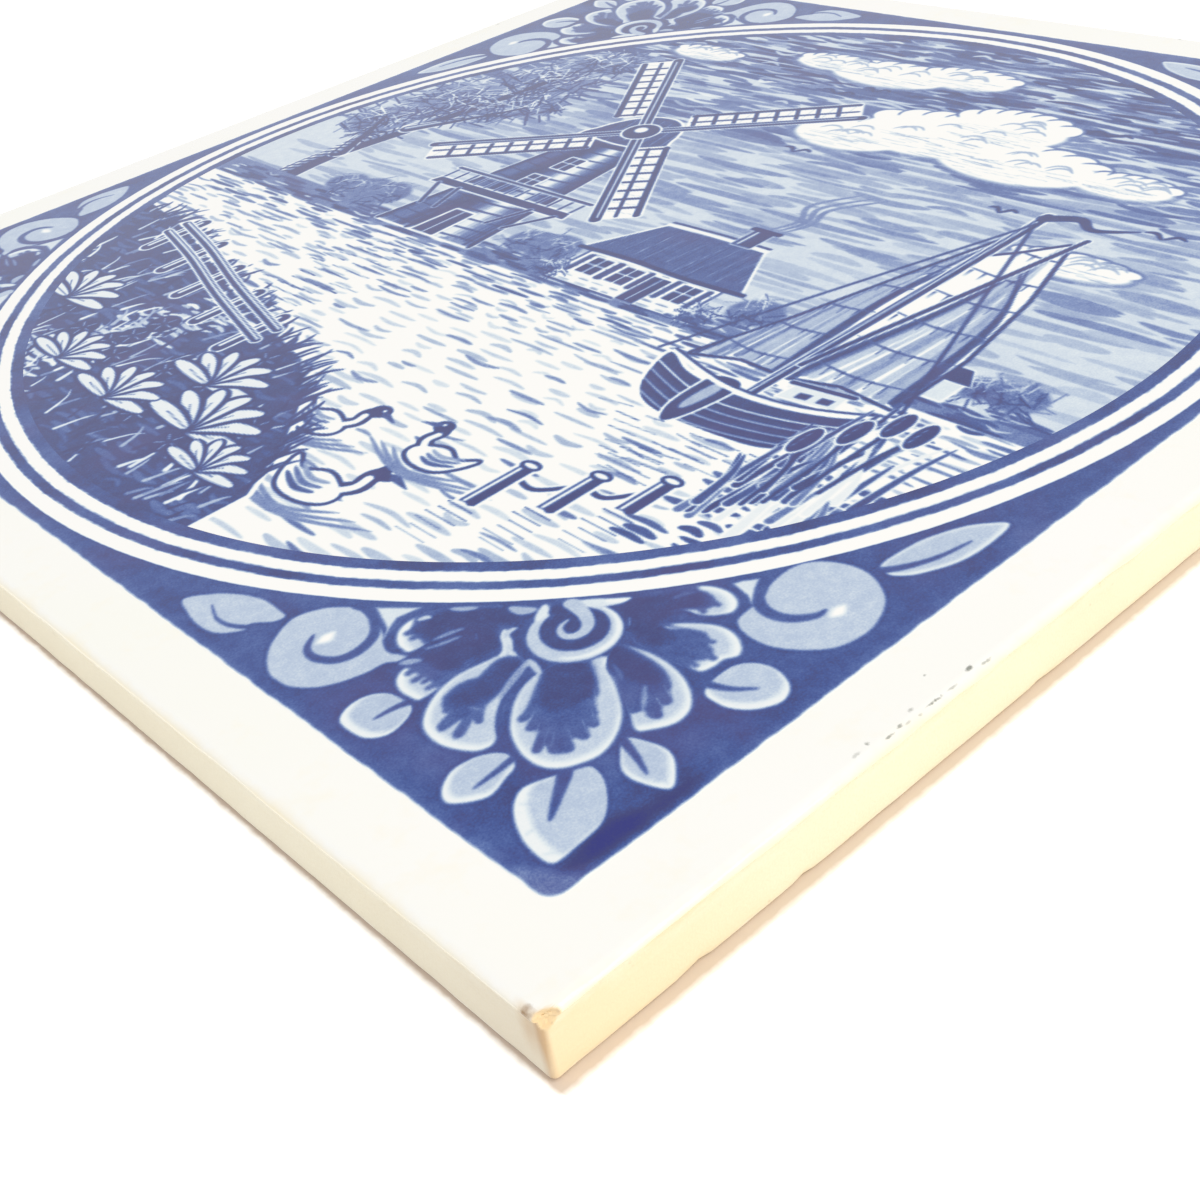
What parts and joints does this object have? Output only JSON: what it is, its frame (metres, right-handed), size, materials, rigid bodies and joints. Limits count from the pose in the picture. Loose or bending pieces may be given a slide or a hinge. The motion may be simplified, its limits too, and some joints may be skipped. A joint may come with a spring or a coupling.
{
  "type": "glazed wall tile",
  "caption": "Square glazed earthenware tile with rolled edges, a keyed back, and a blue printed landscape roundel with a flower in each corner.",
  "frame": {"origin": "middle of the back, in the plane that the tile rests or is bedded on", "axes": "+Z out of the glazed face; +X towards the top of the picture; +Y towards the picture's left"},
  "size_m": [0.152, 0.152, 0.0056],
  "materials": {
    "fired_clay": "bare fired earthenware, cream, matt and slightly grainy",
    "white_glaze": "glossy white glaze, slightly creamy where it thins over the edge",
    "pale_wash": "pale cobalt wash under gloss",
    "mid_cobalt": "middle cobalt print under gloss",
    "cobalt": "full cobalt print under gloss, finely grained",
    "deep_cobalt": "deepest cobalt brushwork under gloss"
  },
  "bodies": {
    "root": {"clay_body": "fired_clay", "white_glaze": "white_glaze", "picture_wash": "pale_wash", "picture_frame_line": "cobalt", "ring_line": "cobalt", "corner_wash_1": "pale_wash", "corner_wash_2": "pale_wash", "corner_wash_3": "pale_wash", "corner_wash_4": "pale_wash", "corner_ground_1": "cobalt", "corner_ground_2": "cobalt", "corner_ground_3": "cobalt", "corner_ground_4": "cobalt", "corner_flower_1": "deep_cobalt", "corner_flower_2": "deep_cobalt", "corner_flower_3": "deep_cobalt", "corner_flower_4": "deep_cobalt", "picture_mill": "deep_cobalt", "picture_cottage": "cobalt", "picture_barge": "cobalt", "picture_tree": "cobalt", "picture_bank": "cobalt", "picture_shore": "mid_cobalt", "picture_mooring": "deep_cobalt", "picture_reeds": "cobalt"}
  },
  "joints": []
}
